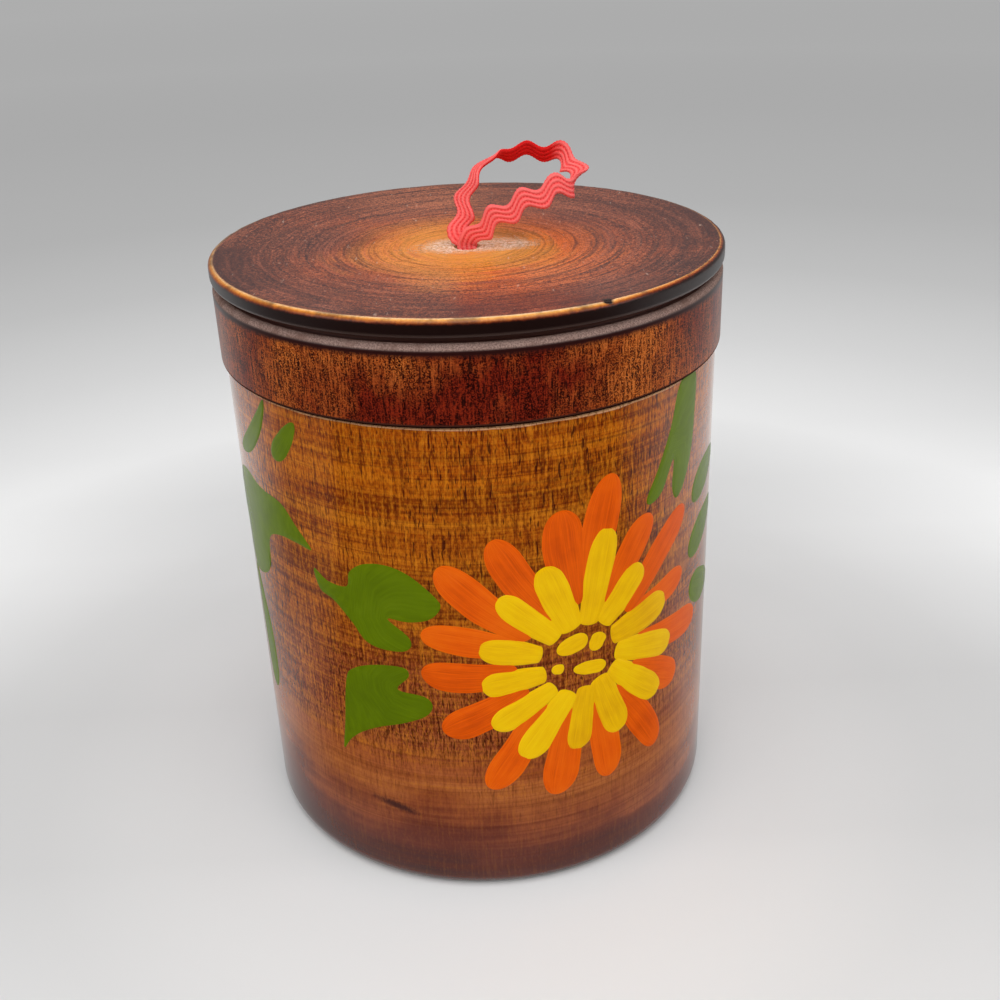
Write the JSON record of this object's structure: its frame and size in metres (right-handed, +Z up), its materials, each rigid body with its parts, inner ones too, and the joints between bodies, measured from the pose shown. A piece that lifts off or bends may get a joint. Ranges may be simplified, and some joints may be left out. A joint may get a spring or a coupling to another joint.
{
  "type": "wooden canister",
  "caption": "Turned wooden canister with a straight round body, a lift-off lid that fits over a neck, and a loop of rickrack braid to lift the lid by.",
  "frame": {"origin": "middle of the face that the canister stands on", "axes": "+Z up along the canister's turning axis, -Y towards the painted front, +X to the right of that front"},
  "size_m": [0.1114, 0.1114, 0.1552],
  "materials": {
    "body_wood": "honey to red-brown stain under gloss lacquer, worn edges",
    "lid_wood": "dark red-brown stain under gloss lacquer, rubbed through at the rim and in the middle",
    "braid": "woven rickrack, matte"
  },
  "bodies": {
    "canister": {"canister_body": "body_wood"},
    "lid": {"canister_lid": "lid_wood", "pull_loop": "braid", "pull_knot": "braid", "pull_tails": "braid"}
  },
  "joints": [
    {"name": "lid_lift", "type": "slide", "parent": "canister", "child": "lid", "axis": [0, 0, 1], "range_m": [0, 0.06]}
  ]
}
